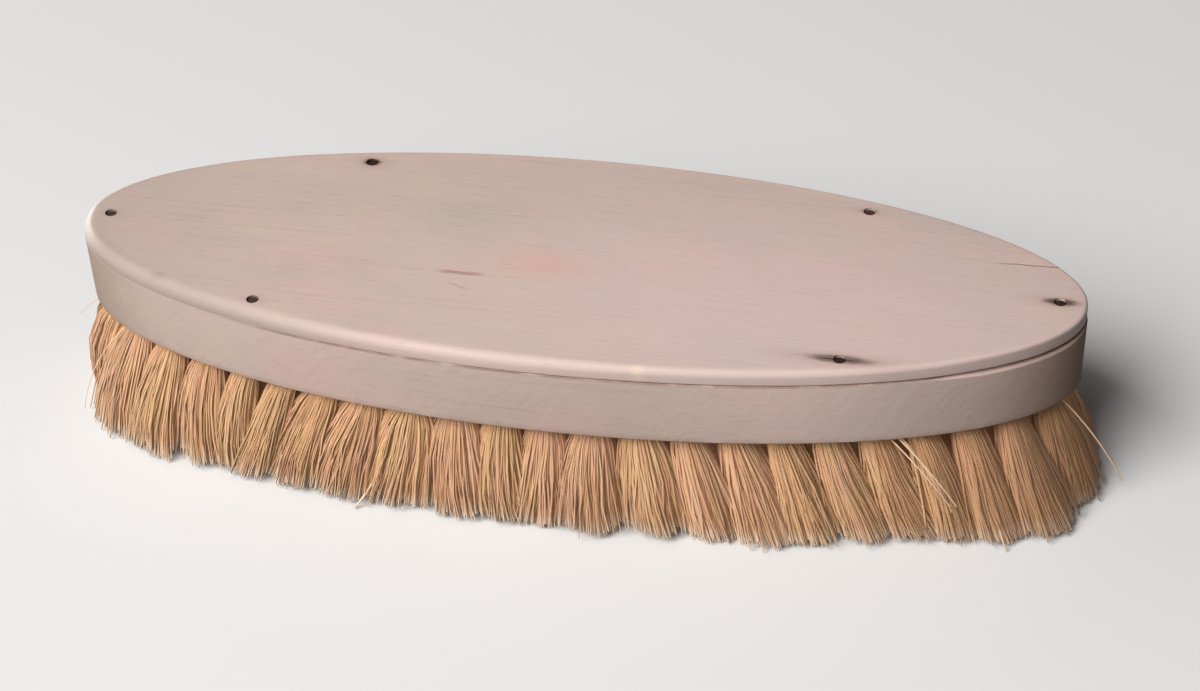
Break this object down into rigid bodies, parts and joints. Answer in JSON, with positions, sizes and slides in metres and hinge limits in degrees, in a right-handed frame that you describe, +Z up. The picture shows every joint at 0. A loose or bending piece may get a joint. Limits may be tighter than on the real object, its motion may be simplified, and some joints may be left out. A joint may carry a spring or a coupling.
{
  "type": "clothes brush",
  "caption": "Oval wooden clothes brush with drawn-in tufts of stiff plant fibre and a thin nailed cover board.",
  "frame": {"origin": "on the surface that the brush stands on, under the middle of the oval back; the fibre tips are at z = 0", "axes": "+X along the brush, +Y across it, +Z up out of the cover board"},
  "size_m": [0.209, 0.0694, 0.0417],
  "materials": {
    "cover_wood": "bleached bare wood, worn smooth",
    "stock_wood": "bleached bare wood",
    "plant_fibre": "stiff straw-coloured plant fibre",
    "nail_iron": "rusted",
    "brass_wire": "dull drawn wire"
  },
  "bodies": {
    "root": {"cover_board": "cover_wood", "bristle_stock": "stock_wood", "tufts_left_end": "plant_fibre", "tufts_middle": "plant_fibre", "tufts_right_end": "plant_fibre", "drawing_wire_outer_row": "brass_wire", "drawing_wire_second_row": "brass_wire", "drawing_wire_middle_back_row": "brass_wire", "drawing_wire_middle_front_row": "brass_wire", "nail_right_end": "nail_iron", "nail_back_right": "nail_iron", "nail_back_left": "nail_iron", "nail_left_end": "nail_iron", "nail_front_left": "nail_iron", "nail_front_right": "nail_iron"}
  },
  "joints": []
}
